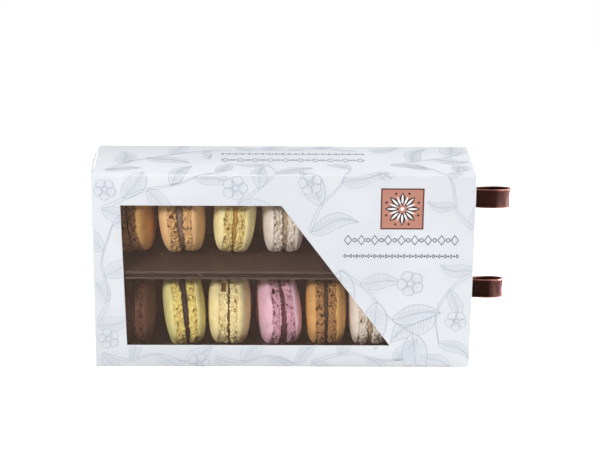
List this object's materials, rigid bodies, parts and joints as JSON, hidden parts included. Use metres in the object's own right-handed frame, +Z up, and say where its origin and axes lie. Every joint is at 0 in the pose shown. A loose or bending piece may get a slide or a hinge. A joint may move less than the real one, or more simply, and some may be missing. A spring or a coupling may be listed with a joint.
{
  "type": "box of macarons",
  "caption": "Windowed card sleeve with two ribbon-pulled plastic trays, one above the other, each holding a row of macarons on edge.",
  "frame": {"origin": "middle of the sleeve's bottom face", "axes": "+X along the box to its open end, where the trays slide out; +Y to the back, away from the window; +Z up"},
  "size_m": [0.252, 0.06, 0.121],
  "materials": {
    "card": "coated white carton board, satin",
    "film": "clear film",
    "tray": "thin formed brown plastic",
    "ribbon": "brown satin ribbon",
    "chocolate_shell": "baked almond meringue, dull",
    "chocolate_filling": "soft cream or ganache",
    "green_shell": "baked almond meringue, dull",
    "green_filling": "soft cream or ganache",
    "yellow_shell": "baked almond meringue, dull",
    "yellow_filling": "soft cream or ganache",
    "pink_shell": "baked almond meringue, dull",
    "pink_filling": "soft cream or ganache",
    "caramel_shell": "baked almond meringue, dull",
    "caramel_filling": "soft cream or ganache",
    "cream_shell": "baked almond meringue, dull",
    "cream_filling": "soft cream or ganache",
    "peach_shell": "baked almond meringue, dull",
    "peach_filling": "soft cream or ganache",
    "lemon_shell": "baked almond meringue, dull",
    "lemon_filling": "soft cream or ganache"
  },
  "bodies": {
    "sleeve": {"sleeve": "card", "window_film": "film"},
    "drawer_lower": {"tray_lower": "tray", "ribbon_lower": "ribbon", "lower_1_shell_left": "chocolate_shell", "lower_1_filling": "chocolate_filling", "lower_1_shell_right": "chocolate_shell", "lower_2_shell_left": "green_shell", "lower_2_filling": "green_filling", "lower_2_shell_right": "green_shell", "lower_3_shell_left": "yellow_shell", "lower_3_filling": "yellow_filling", "lower_3_shell_right": "yellow_shell", "lower_4_shell_left": "pink_shell", "lower_4_filling": "pink_filling", "lower_4_shell_right": "pink_shell", "lower_5_shell_left": "caramel_shell", "lower_5_filling": "caramel_filling", "lower_5_shell_right": "caramel_shell", "lower_6_shell_left": "cream_shell", "lower_6_filling": "cream_filling", "lower_6_shell_right": "cream_shell", "lower_7_shell_left": "peach_shell", "lower_7_filling": "peach_filling", "lower_7_shell_right": "peach_shell"},
    "drawer_upper": {"tray_upper": "tray", "ribbon_upper": "ribbon", "upper_1_shell_left": "caramel_shell", "upper_1_filling": "caramel_filling", "upper_1_shell_right": "caramel_shell", "upper_2_shell_left": "peach_shell", "upper_2_filling": "peach_filling", "upper_2_shell_right": "peach_shell", "upper_3_shell_left": "lemon_shell", "upper_3_filling": "lemon_filling", "upper_3_shell_right": "lemon_shell", "upper_4_shell_left": "cream_shell", "upper_4_filling": "cream_filling", "upper_4_shell_right": "cream_shell", "upper_5_shell_left": "pink_shell", "upper_5_filling": "pink_filling", "upper_5_shell_right": "pink_shell", "upper_6_shell_left": "green_shell", "upper_6_filling": "green_filling", "upper_6_shell_right": "green_shell", "upper_7_shell_left": "chocolate_shell", "upper_7_filling": "chocolate_filling", "upper_7_shell_right": "chocolate_shell"}
  },
  "joints": [
    {"name": "drawer_lower_slide", "type": "slide", "parent": "sleeve", "child": "drawer_lower", "axis": [1, 0, 0], "range_m": [0, 0.18]},
    {"name": "drawer_upper_slide", "type": "slide", "parent": "sleeve", "child": "drawer_upper", "axis": [1, 0, 0], "range_m": [0, 0.18]}
  ]
}
